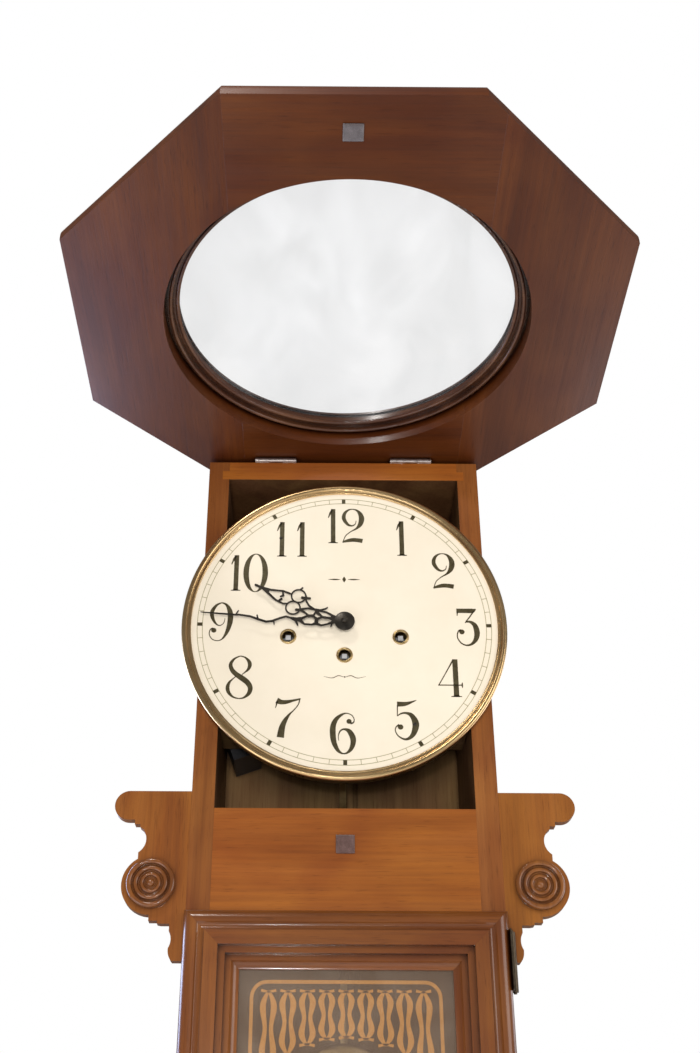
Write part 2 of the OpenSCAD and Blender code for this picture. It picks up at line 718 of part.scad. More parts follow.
case_side(-1);  // case_side_left
case_side(1);  // case_side_right
case_top();
case_bottom();
back_board(-inner_w, seam_x);  // back_board_left
back_board(seam_x, inner_w);  // back_board_right
front_rail();
wing(-1);  // wing_left
wing(1);  // wing_right
rosette(-1);  // rosette_left
rosette(1);  // rosette_right
base_moulding();
apron();
hanger_plate();
rail_pad();
seat_board();
hood_hinge_case_leaf(-1);  // hood_hinge_case_leaf_left
hood_hinge_case_leaf(1);  // hood_hinge_case_leaf_right
door_hinge_case_leaf(true);  // door_hinge_case_leaf_top
door_hinge_case_leaf(false);  // door_hinge_case_leaf_bottom
dial_plate();
dial_bezel();
winding_eyelets();
dial_screws();
movement_front_plate();
movement_back_plate();
spring_barrels();
chime_rods();
winding_arbor(side_arbor_x, side_arbor_z);  // winding_arbor_chime
winding_arbor(time_x, time_z);  // winding_arbor_time
winding_arbor(-side_arbor_x, side_arbor_z);  // winding_arbor_strike
anchor();
escape_wheel();
cannon_pinion();
minute_hand();
hand_nut();
minute_wheel();
hour_wheel();
hour_hand();
pendulum_rod();
pendulum_bob();
rating_nut();
hood_part(seam_left_x, seam_right_x, 0, hood_reach);  // hood_rail_top
hood_part(seam_left_x, seam_right_x, -hood_reach, 0);  // hood_rail_bottom
hood_part(-hood_reach, seam_left_x, -hood_reach, hood_reach);  // hood_stile_left
hood_part(seam_right_x, hood_reach, -hood_reach, hood_reach);  // hood_stile_right
hood_ring();
hood_glass();
hood_glass_bead();
hood_pad();
hood_hinge_hood_leaf(-1);  // hood_hinge_hood_leaf_left
hood_hinge_hood_leaf(1);  // hood_hinge_hood_leaf_right
door_member(case_w, 0, door_top_z, 90);  // door_rail_top
door_member(case_w, 0, door_top_z - door_h, -90);  // door_rail_bottom
door_member(door_h, -half_w, door_mid_z, 0);  // door_stile_left
door_member(door_h, half_w, door_mid_z, 180);  // door_stile_right
door_glass();
door_knob();
door_hinge_door_leaf(true);  // door_hinge_door_leaf_top
door_hinge_door_leaf(false);  // door_hinge_door_leaf_bottom
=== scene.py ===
"""Looks of the octagon-top wall clock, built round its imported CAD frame. Lengths are in metres."""
import json
import math

import bpy
from mathutils import Matrix, Vector


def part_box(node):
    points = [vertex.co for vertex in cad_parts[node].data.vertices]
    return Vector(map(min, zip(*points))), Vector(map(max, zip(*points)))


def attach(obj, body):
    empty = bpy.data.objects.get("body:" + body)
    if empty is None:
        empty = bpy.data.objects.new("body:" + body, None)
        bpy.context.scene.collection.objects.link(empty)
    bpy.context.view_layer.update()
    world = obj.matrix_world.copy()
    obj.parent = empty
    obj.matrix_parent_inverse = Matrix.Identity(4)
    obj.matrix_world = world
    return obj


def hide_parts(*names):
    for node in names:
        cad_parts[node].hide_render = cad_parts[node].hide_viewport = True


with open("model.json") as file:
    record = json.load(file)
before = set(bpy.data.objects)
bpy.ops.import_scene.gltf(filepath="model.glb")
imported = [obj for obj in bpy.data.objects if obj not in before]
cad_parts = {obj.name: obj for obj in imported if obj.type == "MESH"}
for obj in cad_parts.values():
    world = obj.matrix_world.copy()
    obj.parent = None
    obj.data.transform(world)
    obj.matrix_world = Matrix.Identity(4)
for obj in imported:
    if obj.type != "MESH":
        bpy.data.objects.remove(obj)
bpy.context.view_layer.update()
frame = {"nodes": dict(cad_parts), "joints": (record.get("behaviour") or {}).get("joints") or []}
nodes = frame["nodes"]
MM = 0.001
HOOD_JOINT = next(j for j in frame["joints"] if j["name"] == "hood_hinge")
HOOD_LIFT = math.radians(abs(HOOD_JOINT["range_deg"][0]))

dial_low, dial_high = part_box("dial_plate")
DIAL = (dial_low + dial_high) / 2  # the middle of the dial's front face
DIAL.y = dial_low.y


def add(name, data):
    """A new object in the scene."""
    obj = bpy.data.objects.new(name, data)
    bpy.context.scene.collection.objects.link(obj)
    return obj


# ---- Materials ----

class Graph:
    """A material's node tree with one Principled shader, built by short calls."""

    def __init__(self, name, **sockets):
        self.material = bpy.data.materials.new(name)
        self.material.use_nodes = True
        self.tree = self.material.node_tree
        self.shader = self.tree.nodes["Principled BSDF"]
        self.set(self.shader, sockets)
        self.coords = self.tree.nodes.new("ShaderNodeTexCoord").outputs["Object"]

    def set(self, node, sockets):
        for key, value in sockets.items():
            socket = node.inputs[key if isinstance(key, int) else key.replace("_", " ")]
            if isinstance(value, bpy.types.NodeSocket):
                self.tree.links.new(value, socket)
            else:
                socket.default_value = value

    def node(self, kind, settings=(), **sockets):
        node = self.tree.nodes.new("ShaderNode" + kind)
        for key, value in dict(settings).items():
            setattr(node, key, value)
        self.set(node, sockets)
        return node

    def mapped(self, vector, scale=(1, 1, 1), turn=(0, 0, 0), shift=(0, 0, 0)):
        node = self.node("Mapping", Vector=vector, Scale=scale, Rotation=turn, Location=shift)
        return node.outputs["Vector"]

    def noise(self, vector, scale, detail=3.0, roughness=0.55, distortion=0.0):
        return self.node("TexNoise", Vector=vector, Scale=scale, Detail=detail, Roughness=roughness,
                         Distortion=distortion).outputs["Fac"]

    def ramp(self, factor, stops):
        node = self.node("ValToRGB", Fac=factor)
        elements = node.color_ramp.elements
        while len(elements) < len(stops):
            elements.new(0.5)
        for element, (position, colour) in zip(elements, stops):
            element.position = position
            element.color = (*colour, 1)
        return node.outputs["Color"]

    def ranged(self, factor, low, high, start=0.0, end=1.0):
        """The factor's span from start to end, stretched to run from low to high."""
        limits = {"From_Min": start, "From_Max": end, "To_Min": low, "To_Max": high}
        return self.node("MapRange", Value=factor, **limits).outputs[0]

    def math(self, operation, a, b):
        node = self.node("Math", {"operation": operation})
        self.set(node, {0: a, 1: b})
        return node.outputs[0]

    def multiply(self, a, b, factor=1.0):
        """Colour a, multiplied by colour b as far as the factor says."""
        node = self.node("Mix", {"data_type": "RGBA", "blend_type": "MULTIPLY"})
        self.set(node, {0: factor, 6: a, 7: b})
        return node.outputs[2]

    def bump(self, height, strength, distance, edge=0.0):
        """Relief in the shading, over edges rounded by that radius in metres."""
        sockets = {"Height": height, "Strength": strength, "Distance": distance}
        if edge:
            sockets["Normal"] = self.node("Bevel", {"samples": 4}, Radius=edge).outputs[0]
        self.set(self.shader, {"Normal": self.node("Bump", **sockets).outputs[0]})


def wood(name, tones, turn, shift, gloss, coat):
    """Stained and lacquered wood whose grain runs along Z after the turn."""
    g = Graph(name, Coat_Weight=coat, Coat_Roughness=0.14, Specular_IOR_Level=0.3)
    base = g.mapped(g.coords, turn=turn, shift=shift)
    drift = g.noise(g.mapped(base, scale=(1, 1, 0.35)), 7.0, 2.0)
    figure = g.noise(g.mapped(base, scale=(1, 1, 0.07)), 34.0, 5.0, 0.6, 0.7)
    streak = g.noise(g.mapped(base, scale=(1, 1, 0.02)), 300.0, 3.0, 0.6)
    pore = g.noise(g.mapped(base, scale=(1, 1, 0.045)), 1150.0, 2.0, 0.5)
    colour = g.ramp(figure, [(0.28, tones[0]), (0.5, tones[1]), (0.74, tones[2])])
    shade = g.ramp(streak, [(0.3, (0.72, 0.69, 0.66)), (0.62, (1.06, 1.06, 1.06))])
    colour = g.multiply(colour, shade, 0.55)
    cloud = g.ramp(drift, [(0.3, (0.83, 0.8, 0.78)), (0.7, (1.14, 1.15, 1.16))])
    colour = g.multiply(colour, cloud)
    open_pore = g.ramp(pore, [(0.6, (1, 1, 1)), (0.72, (0.55, 0.5, 0.46))])
    colour = g.multiply(colour, open_pore, 0.7)
    glow = g.ramp(g.noise(g.mapped(base, scale=(1, 1, 0.5)), 15.0, 2.0, 0.5, 0.6),
                  [(0.35, (0.84, 0.76, 0.78)), (0.66, (1.14, 1.22, 1.12))])
    colour = g.multiply(colour, glow)
    # Painted shade: the colour is darker in the creases, where less light reaches.
    crease_shade = g.node("AmbientOcclusion", {"samples": 6}, Distance=0.007).outputs["AO"]
    colour = g.multiply(colour, g.ramp(crease_shade, [(0.30, (0.20, 0.15, 0.12)), (0.80, (1, 1, 1))]))
    roughness = g.ranged(streak, gloss + 0.08, gloss - 0.05, 0.25, 0.75)
    g.set(g.shader, {"Base Color": colour, "Roughness": roughness})
    height = g.math("SUBTRACT", g.math("MULTIPLY", streak, 0.35), g.math("MULTIPLY", pore, 0.6))
    g.bump(height, 0.22, 0.0005, edge=0.0005)
    return g.material


def metal(name, tones, roughness, metallic=1.0, scale=70.0, rings=None, brush=0.1):
    """Metal with slight tarnish; rings is the centre about which its turning marks run."""
    g = Graph(name, Metallic=metallic)
    tarnish = g.noise(g.coords, scale, 4.0, 0.6, 0.4)
    g.set(g.shader, {"Base Color": g.ramp(tarnish, [(0.32, tones[0]), (0.68, tones[1])])})
    if rings is None:
        marks = g.noise(g.mapped(g.coords, scale=(1, 1, 0.1)), 1400.0, 2.0)
    else:
        flat = g.mapped(g.coords, scale=(1, 0, 1), shift=(-rings.x, 0, -rings.z))
        radius = g.node("VectorMath", {"operation": "LENGTH"}, Vector=flat).outputs["Value"]
        turning = g.node("TexNoise", {"noise_dimensions": "1D"}, W=radius, Scale=2600.0, Detail=3.0)
        marks = turning.outputs["Fac"]
    wear = g.math("ADD", g.math("MULTIPLY", tarnish, 0.6), g.math("MULTIPLY", marks, 0.4))
    g.set(g.shader, {"Roughness": g.ranged(wear, roughness - 0.07, roughness + 0.1, 0.3, 0.7)})
    g.bump(marks, brush, 0.0002, edge=0.0004)
    return g.material


def paint(name, tones, roughness, scale, coat=0.0, bump=0.04, metallic=0.0):
    """An even coat of paint or ink with faint mottling."""
    g = Graph(name, Coat_Weight=coat, Coat_Roughness=0.12, Metallic=metallic)
    cloud = g.noise(g.coords, scale, 4.0, 0.6)
    g.set(g.shader, {"Base Color": g.ramp(cloud, [(0.3, tones[0]), (0.7, tones[1])]),
                     "Roughness": g.ranged(cloud, roughness - 0.05, roughness + 0.05, 0.3, 0.7)})
    g.bump(g.noise(g.coords, 900.0, 2.0), bump, 0.0002)
    return g.material


def felt(name, tones):
    """Matted fibre with a soft sheen."""
    g = Graph(name, Sheen_Weight=0.5, Sheen_Roughness=0.5, Roughness=0.95, Specular_IOR_Level=0.15)
    fibre = g.noise(g.coords, 1500.0, 4.0, 0.7, 1.5)
    patch = g.noise(g.coords, 160.0, 3.0, 0.6)
    colour = g.ramp(patch, [(0.3, tones[0]), (0.7, tones[1])])
    speck = g.ramp(fibre, [(0.35, (0.62, 0.62, 0.62)), (0.65, (1.25, 1.25, 1.25))])
    g.set(g.shader, {"Base Color": g.multiply(colour, speck)})
    g.bump(fibre, 0.6, 0.0006)
    return g.material


def glass(name, tones, alpha):
    """A pane with faint smears; alpha is how much of its own colour it shows."""
    g = Graph(name, Alpha=alpha, IOR=1.5, Specular_IOR_Level=0.5)
    smear = g.noise(g.mapped(g.coords, scale=(1, 0.6, 1)), 14.0, 4.0, 0.6, 0.8)
    g.set(g.shader, {"Base Color": g.ramp(smear, [(0.35, tones[0]), (0.65, tones[1])]),
                     "Roughness": g.ranged(smear, 0.03, 0.08, 0.3, 0.7)})
    g.bump(g.noise(g.coords, 9.0, 1.0), 0.02, 0.001)
    return g.material


# Woods in linear colour: the dark, the middle and the light of the figure.
WALNUT_TONES = ((0.242, 0.068, 0.010), (0.290, 0.086, 0.013), (0.328, 0.104, 0.019))
SIDE_TONES = ((0.165, 0.050, 0.011), (0.212, 0.069, 0.016), (0.250, 0.090, 0.024))
WING_TONES = ((0.195, 0.060, 0.010), (0.250, 0.083, 0.014), (0.295, 0.106, 0.021))
# The hood's tones are the case's wood made darker: painted shade for the hood's underside, which faces down
# when lifted.
HOOD_SHADE_TONES = ((0.066, 0.0155, 0.003), (0.088, 0.0215, 0.004), (0.112, 0.030, 0.006))
RING_TONES = ((0.050, 0.018, 0.009), (0.085, 0.031, 0.015), (0.125, 0.048, 0.024))
BEAD_TONES = ((0.095, 0.028, 0.006), (0.165, 0.051, 0.011), (0.235, 0.083, 0.019))
BACK_TONES = ((0.112, 0.060, 0.025), (0.156, 0.088, 0.038), (0.202, 0.119, 0.055))
# Painted shade: a darker wood for the faces within the case.
INNER_SHADE_TONES = ((0.080, 0.034, 0.013), (0.115, 0.054, 0.021), (0.155, 0.078, 0.032))
DOOR_TONES = ((0.112, 0.031, 0.006), (0.155, 0.046, 0.009), (0.198, 0.066, 0.014))
QUARTER = math.pi / 2
UPRIGHT, ACROSS = (0, 0, 0), (0, -QUARTER, 0)
HOOD_UPRIGHT, HOOD_ACROSS = (HOOD_LIFT, 0, 0), (HOOD_LIFT, -QUARTER, 0)

bezel_brass = metal("bezel_brass", ((0.74, 0.49, 0.23), (0.82, 0.57, 0.285)), 0.27, scale=14.0,
                    rings=DIAL, brush=0.02)
hinge_silver = metal("worn_hinge_metal", ((0.50, 0.42, 0.39), (0.66, 0.58, 0.54)), 0.36, scale=240.0)
hinge_dark = metal("aged_hinge_brass", ((0.085, 0.065, 0.045), (0.175, 0.130, 0.085)), 0.42, scale=260.0)
brass = metal("brass", ((0.52, 0.36, 0.15), (0.66, 0.48, 0.23)), 0.32)
plate_brass = metal("plate_brass", ((0.45, 0.32, 0.14), (0.56, 0.42, 0.21)), 0.38, brush=0.2)
dark_hand = metal("blackened_steel", ((0.035, 0.030, 0.025), (0.070, 0.060, 0.048)), 0.34, 0.75)
steel = metal("steel", ((0.50, 0.50, 0.50), (0.66, 0.66, 0.66)), 0.36, 0.55)
cast_iron = paint("cast_iron", ((0.016, 0.016, 0.018), (0.034, 0.034, 0.037)), 0.5, 300.0, bump=0.5)
cream = paint("cream_enamel", ((0.745, 0.658, 0.518), (0.774, 0.689, 0.552)), 0.34, 26.0, 0.15, 0.03)
ink = paint("numeral_ink", ((0.055, 0.040, 0.018), (0.105, 0.088, 0.042)), 0.32, 220.0, 0.25, 0.05, 0.35)
track_ink = paint("track_ink", ((0.30, 0.26, 0.14), (0.40, 0.36, 0.22)), 0.4, 200.0)
gold = paint("gold_leaf", ((0.76, 0.32, 0.035), (0.90, 0.42, 0.07)), 0.42, 240.0, bump=0.2)
rail_felt = felt("rail_felt", ((0.085, 0.045, 0.038), (0.145, 0.085, 0.075)))
hood_felt = felt("hood_felt", ((0.075, 0.060, 0.060), (0.130, 0.108, 0.108)))
clear_glass = glass("hood_glass_pane", ((0.10, 0.11, 0.12), (0.62, 0.63, 0.64)), 0.12)
# The door pane's brown is painted light: it stands in for the lit case interior seen through the glass and
# for what the glass mirrors.
door_pane = glass("door_glass_pane", ((0.25, 0.175, 0.125), (0.36, 0.275, 0.21)), 0.28)

# Each wooden node's kind of wood and the way its grain runs.
FINISHES = {
    "case_side_left": ("SIDE", UPRIGHT), "case_side_right": ("SIDE", UPRIGHT),
    "case_top": ("WALNUT", ACROSS), "case_bottom": ("WALNUT", ACROSS), "front_rail": ("WALNUT", ACROSS),
    "wing_left": ("WING", UPRIGHT), "wing_right": ("WING", UPRIGHT),
    "base_moulding": ("WALNUT", ACROSS), "apron": ("WALNUT", ACROSS), "seat_board": ("BACK", ACROSS),
    "back_board_left": ("BACK", UPRIGHT), "back_board_right": ("BACK", UPRIGHT),
    "rosette_left": ("BEAD", UPRIGHT), "rosette_right": ("BEAD", UPRIGHT),
    "hood_rail_top": ("HOOD", HOOD_ACROSS), "hood_rail_bottom": ("HOOD", HOOD_ACROSS),
    "hood_stile_left": ("HOOD", HOOD_UPRIGHT), "hood_stile_right": ("HOOD", HOOD_UPRIGHT),
    "hood_ring": ("RING", HOOD_ACROSS), "hood_glass_bead": ("RING", HOOD_ACROSS),
    "door_rail_top": ("DOOR", ACROSS), "door_rail_bottom": ("DOOR", ACROSS),
    "door_stile_left": ("DOOR", UPRIGHT), "door_stile_right": ("DOOR", UPRIGHT),
}
# Each kind of wood's tones from dark to light, its roughness and the weight of its lacquer; HOOD is the
# case's wood made darker, painted shade.
WOODS = {
    "WALNUT": (WALNUT_TONES, 0.36, 0.15), "SIDE": (SIDE_TONES, 0.36, 0.15), "WING": (WING_TONES, 0.36, 0.15),
    "DOOR": (DOOR_TONES, 0.34, 0.8), "HOOD": (HOOD_SHADE_TONES, 0.38, 0.12), "RING": (RING_TONES, 0.28, 0.5),
    "BEAD": (BEAD_TONES, 0.20, 1.0), "BACK": (BACK_TONES, 0.55, 0.0),
}

METALS = {
    bezel_brass: ["dial_bezel"],
    brass: ["winding_eyelets", "pendulum_bob", "pendulum_rod", "rating_nut", "door_knob", "chime_rods"],
    hinge_silver: ["hood_hinge_case_leaf_left", "hood_hinge_case_leaf_right", "hood_hinge_hood_leaf_left",
                   "hood_hinge_hood_leaf_right"],
    hinge_dark: ["door_hinge_case_leaf_top", "door_hinge_case_leaf_bottom", "door_hinge_door_leaf_top",
                 "door_hinge_door_leaf_bottom"],
    plate_brass: ["movement_front_plate", "movement_back_plate", "spring_barrels", "escape_wheel",
                  "minute_wheel", "hour_wheel"],
    dark_hand: ["hour_hand", "minute_hand", "hand_nut", "dial_screws"],
    steel: ["hanger_plate", "winding_arbor_chime", "winding_arbor_time", "winding_arbor_strike",
            "anchor", "cannon_pinion"],
    cream: ["dial_plate"], clear_glass: ["hood_glass"], door_pane: ["door_glass"],
}


def dress(node, material):
    """Gives a CAD node the one material."""
    mesh = nodes[node].data
    mesh.materials.clear()
    mesh.materials.append(material)


for index, (node, (kind, turn)) in enumerate(FINISHES.items()):
    tones, gloss, coat = WOODS[kind]
    shift = (0.37 * index, 0.61 * index, 0.83 * index)
    dress(node, wood("wood_" + node, tones, turn, shift, gloss, coat))
for material, names in METALS.items():
    for node in names:
        dress(node, material)

# The case's inner faces and the top's underside get a darker wood: painted shade for the case's interior.
inner_shade = wood("wood_inner_shade", INNER_SHADE_TONES, UPRIGHT, (0.2, 0.5, 0.1), 0.6, 0.0)
inner_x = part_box("seat_board")[1].x
for name in ("case_side_left", "case_side_right", "case_top"):
    mesh = nodes[name].data
    mesh.materials.append(inner_shade)
    for polygon in mesh.polygons:
        faces_in = abs(polygon.normal.x) > 0.9 and abs(abs(polygon.center.x) - inner_x) < MM
        faces_down = name == "case_top" and polygon.normal.z < -0.9
        if faces_in or faces_down:
            polygon.material_index = 1


# ---- Flat shapes laid on the dial and the glass ----

class Sheet:
    """Flat shapes in X and Z about a middle point, each a thin closed solid facing -Y."""

    def __init__(self, middle, front, back):
        self.middle, self.front, self.back = middle, front, back
        self.verts, self.faces = [], []

    def band(self, left, right, closed=False):
        """A strip between two lines of (x, z) points in mm."""
        start = len(self.verts)
        for (lx, lz), (rx, rz) in zip(left, right):
            section = ((lx, lz, self.front), (rx, rz, self.front), (rx, rz, self.back), (lx, lz, self.back))
            for x, z, y in section:
                self.verts.append((self.middle.x + x * MM, y, self.middle.z + z * MM))
        count = len(left)
        for i in range(count if closed else count - 1):
            a, b = start + 4 * i, start + 4 * ((i + 1) % count)
            for j in range(4):
                k = (j + 1) % 4
                self.faces.append((a + j, b + j, b + k, a + k))
        if not closed:
            end = start + 4 * (count - 1)
            self.faces += [tuple(start + j for j in range(4)), tuple(end + 3 - j for j in range(4))]

    def stroke(self, points, at=(0, 0), steps=6):
        """A smooth stroke through (x, z, half width) points."""
        padded = [points[0], *points, points[-1]]
        left, right, samples = [], [], []
        for i in range(len(points) - 1):
            p0, p1, p2, p3 = padded[i:i + 4]
            for s in range(steps + (i == len(points) - 2)):
                t = s / steps
                samples.append(tuple(0.5 * (2 * b + (c - a) * t + (2 * a - 5 * b + 4 * c - d) * t * t
                                            + (3 * b - a - 3 * c + d) * t ** 3)
                                     for a, b, c, d in zip(p0, p1, p2, p3)))
        for i, (x, z, w) in enumerate(samples):
            before, after = samples[max(i - 1, 0)], samples[min(i + 1, len(samples) - 1)]
            along = Vector((after[0] - before[0], after[1] - before[1])).normalized()
            side = Vector((-along.y, along.x)) * w
            centre = Vector((x + at[0], z + at[1]))
            left.append(tuple(centre + side))
            right.append(tuple(centre - side))
        self.band(left, right)

    def ring(self, at, inner, outer, steps):
        """A closed band between two ellipses, each given as half widths in X and Z."""
        turns = [2 * math.pi * i / steps for i in range(steps)]
        rims = [[(at[0] + half_x * math.sin(t), at[1] + half_z * math.cos(t)) for t in turns]
                for half_x, half_z in (inner, outer)]
        self.band(*rims, closed=True)

    def disc(self, at, radius):
        """A ring whose hole is too small to see."""
        self.ring(at, (0.01, 0.01), (radius, radius), 20)

    def piece(self, name, material, body, slot):
        """The sheet so far, as one object that rides on the body."""
        mesh = bpy.data.meshes.new(name)
        mesh.from_pydata(self.verts, [], self.faces)
        mesh.update()
        mesh.materials.append(material)
        obj = add(name, mesh)
        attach(obj, body)


# Each numeral: its strokes as (x, z, half width) in mm about its middle, then its balls as (x, z, radius).
GLYPHS = {
    "0": ([], []),
    "1": ([[(0, -19.6, 2.3), (0, 19.7, 2.3)],
           [(-0.4, 19.2, 0.5), (-2.4, 15.8, 1.1), (-3.8, 12.4, 0.75), (-4.9, 9.3, 0.45)],
           [(-4.7, -19.7, 0.45), (4.7, -19.7, 0.45)],
           [(0, -20, 3.9), (0, -18.5, 2.3)]], []),
    "2": ([[(3.2, 6, 0.3), (2.2, 2.0, 0.45), (-1.5, 0.1, 0.85), (-5.8, 2.2, 1.5), (-9.2, 8.5, 2.0),
            (-8.3, 14.6, 1.6), (-4.6, 18.6, 0.9), (0, 19.6, 0.5), (4.2, 18.1, 1.1), (7.6, 13.6, 2.2),
            (8.75, 8, 2.75), (7.2, 1.8, 2.3), (3.6, -2.9, 1.1), (-2.5, -6.9, 0.5), (-7.2, -11.2, 0.45),
            (-9.2, -15.6, 0.45), (-9.8, -18, 0.5)],
           [(-10.7, -19.2, 0.7), (-8, -18, 1.3), (-4, -16.9, 1.9), (0, -16.3, 2.15), (5, -16.7, 2.25),
            (9.4, -17.5, 2.4)]], []),
    "3": ([[(-10.3, 17.6, 2.35), (-2, 17.6, 2.35), (5.2, 17.7, 2.3), (8.7, 19.5, 0.4)],
           [(-9.5, 16, 0.8), (-9.8, 12.1, 0.35)],
           [(6.6, 17.2, 0.7), (2.5, 11.2, 0.6), (-1.4, 6, 0.55), (-2.5, 4.3, 0.3)],
           [(-1.4, 5.6, 0.8), (2.6, 5.6, 1.3), (6.8, 2, 2.3), (8.55, -5.5, 2.75), (7.2, -12.6, 2.2),
            (3.2, -17.8, 1.3), (-2, -19.4, 0.8), (-7, -17.2, 0.65), (-10.3, -12, 0.55),
            (-10.4, -7.4, 0.55), (-8.9, -4, 0.7), (-6.8, -3.2, 0.9)]], [(-6, -5.2, 2.6)]),
    "4": ([[(4.9, -19, 2.5), (4.9, 19.2, 2.5)],
           [(-0.1, -19.1, 0.45), (9.9, -19.1, 0.45)],
           [(4.9, -19.5, 4), (4.9, -17.9, 2.5)],
           [(3.2, 18.6, 0.8), (-4, 5.6, 0.5), (-11.2, -7.2, 0.5)],
           [(-12, -7.5, 0.55), (10.6, -7.5, 0.55)],
           [(10.9, -4.8, 0.3), (10.7, -7.5, 0.7), (10.9, -10.3, 0.3)]], []),
    "5": ([[(-8.9, 15.9, 2.6), (-2, 16.1, 2.1), (3.6, 17.6, 1.2), (9.4, 20, 0.25)],
           [(-8.6, 15, 0.5), (-8.9, 3.9, 0.4)],
           [(-8.8, 4, 0.4), (-5.6, 6.4, 0.75), (-0.6, 7, 1.1), (4.6, 4.4, 2.2), (8, -3.5, 3.15),
            (6.3, -12, 2.5), (2.4, -17.3, 1.6), (-2.6, -18.9, 1), (-8.2, -16, 0.6), (-11, -11, 0.5),
            (-10.4, -7, 0.55), (-7.4, -4.6, 0.9)]], [(-6.2, -6.9, 2.6)]),
    "6": ([[(7, 9.7, 1), (9.6, 10.4, 0.7), (10.6, 13.6, 0.45), (8.6, 17.6, 0.5), (4.5, 19.6, 0.5),
            (0.2, 19, 0.95), (-5.5, 14.6, 1.9), (-8.8, 8, 2.5), (-9.4, 0, 2.75), (-8.2, -9, 2.4),
            (-5, -16.2, 1.7), (-1.5, -19.4, 0.9), (1.2, -20, 0.55)],
           [(-3.8, -7.2, 0.3), (-4.2, -2.5, 0.4), (-2.2, 2.4, 0.7), (1.6, 3.9, 1), (6, 1.8, 2.2),
            (9.1, -4, 2.7), (9.4, -9.6, 2.4), (7.4, -15.4, 1.8), (4, -19, 1), (0.6, -20.1, 0.6)]],
          [(5.8, 11.7, 2.4)]),
    "7": ([[(-10.9, 16.9, 3), (-6.5, 15.3, 2.3), (-1.5, 15.5, 1.9), (4, 16.8, 1.2), (10, 18.3, 0.85),
            (11.5, 19, 0.4)],
           [(-10.4, 16, 0.8), (-11.1, 12.5, 0.6), (-12, 9.3, 0.3)],
           [(10.7, 18, 0.6), (9.3, 12.8, 0.5), (5.5, 7.6, 0.5), (1.2, 3, 1), (-2.6, -2.8, 2),
            (-5.4, -10, 2.8), (-6.8, -19.8, 3.4)]], []),
    "8": ([[(0, 21.8, 0.5), (-5.4, 19, 1), (-8.9, 13.5, 1.7), (-7.6, 7.6, 2.1), (-3.6, 3, 2.4),
            (2.2, -1.2, 2.7), (7.6, -5.7, 2.6), (10.4, -11.2, 2.3), (9, -17, 1.8), (4.6, -21, 0.9),
            (0, -22, 0.5)],
           [(0, -22, 0.5), (-5.5, -20.4, 0.9), (-9.8, -15.8, 1.6), (-11, -10.5, 1.8), (-9.6, -5.6, 1.2),
            (-6.4, -2, 0.6), (-3.2, 1, 0.4)],
           [(0, 21.8, 0.5), (4.6, 20.3, 0.8), (8.1, 16.6, 1.6), (9.3, 12.4, 1.9), (7.9, 8, 1.3),
            (4.8, 4.8, 0.6), (2.2, 2.6, 0.4)]], []),
    "9": ([[(0, 20.4, 0.55), (4.6, 18, 1.3), (8.2, 11, 2.4), (8.9, 2, 2.65), (7.4, -7, 2.1),
            (4.6, -14.6, 1.3), (1.2, -19.2, 0.6), (-2.6, -20.6, 0.45), (-7.6, -19.2, 0.45),
            (-10.6, -14.6, 0.45), (-10.7, -10.8, 0.45), (-9.4, -8.2, 0.6), (-7.2, -7.4, 0.8)],
           [(0, 20.4, 0.55), (-5, 17.6, 1.2), (-8.8, 11.5, 1.9), (-9, 6.2, 1.9), (-6.9, 0.4, 1.3),
            (-3.6, -3.6, 0.7), (-0.4, -4.2, 0.5), (2.6, -1.6, 0.35), (3.7, 3.4, 0.3)]], [(-6.6, -9.6, 2.5)]),
}
# Each numeral on the dial, with its middle in mm from the dial's centre.
NUMERALS = [("1", -10.8, 111.2), ("2", 9.3, 111.2), ("1", 58, 97.2), ("2", 98.5, 60), ("3", 119.5, -1.6),
            ("4", 100.3, -55), ("5", 57.8, -98), ("6", -2, -111.3), ("7", -53, -96), ("8", -99.5, -55.4),
            ("9", -119.5, 3), ("1", -106.7, 56.8), ("0", -87.5, 56.8), ("1", -62.1, 95.5), ("1", -41.9, 95.5)]

INK_GAP, INK_FACE = 0.05 * MM, 0.2 * MM


def dial_sheet():
    return Sheet(DIAL, DIAL.y - INK_FACE, DIAL.y - INK_GAP)


numerals = dial_sheet()
for glyph, x, z in NUMERALS:
    strokes, balls = GLYPHS[glyph]
    for stroke in strokes:
        numerals.stroke(stroke, (x, z))
    for bx, bz, r in balls:
        numerals.disc((x + bx, z + bz), r)
    if glyph == "0":
        numerals.ring((x, z), (6.7, 20.7), (12.2, 21.6), 64)
numerals.piece("dial_numerals", ink, "case", "hand_metal")

TRACK_IN, TRACK_OUT, TRACK_LINE, BLOCK_HALF = 137.4, 142.4, 0.3, 1.8
track, blocks = dial_sheet(), dial_sheet()
for r in (TRACK_IN, TRACK_OUT):
    track.ring((0, 0), (r - TRACK_LINE, r - TRACK_LINE), (r + TRACK_LINE, r + TRACK_LINE), 240)
for minute in range(60):
    a = minute * math.tau / 60
    out, side = Vector((math.sin(a), math.cos(a))), Vector((math.cos(a), -math.sin(a)))
    target, half = (blocks, BLOCK_HALF) if minute % 5 == 0 else (track, TRACK_LINE)
    target.band([tuple(out * r - side * half) for r in (TRACK_IN, TRACK_OUT)],
                [tuple(out * r + side * half) for r in (TRACK_IN, TRACK_OUT)])
track.piece("dial_minute_track", track_ink, "case", "hand_metal")
blocks.piece("dial_five_minute_blocks", ink, "case", "hand_metal")

# Two small plain ornaments in the places where such a dial is lettered.
ornament = dial_sheet()
for s in (-1, 1):
    ornament.stroke([(s * 3.6, 49.8, 0.15), (s * 9, 49.8, 0.75), (s * 15.6, 49.8, 0.1)])
    ornament.stroke([(s, -54.8, 0.2), (s * 6, -53.4, 0.35), (s * 12, -55.8, 0.3), (s * 20, -54.2, 0.1)])
ornament.stroke([(0, 46.6, 0.1), (0, 49.8, 1.7), (0, 53, 0.1)])
ornament.disc((0, -54.8), 0.8)
ornament.piece("dial_ornaments", ink, "case", "hand_metal")

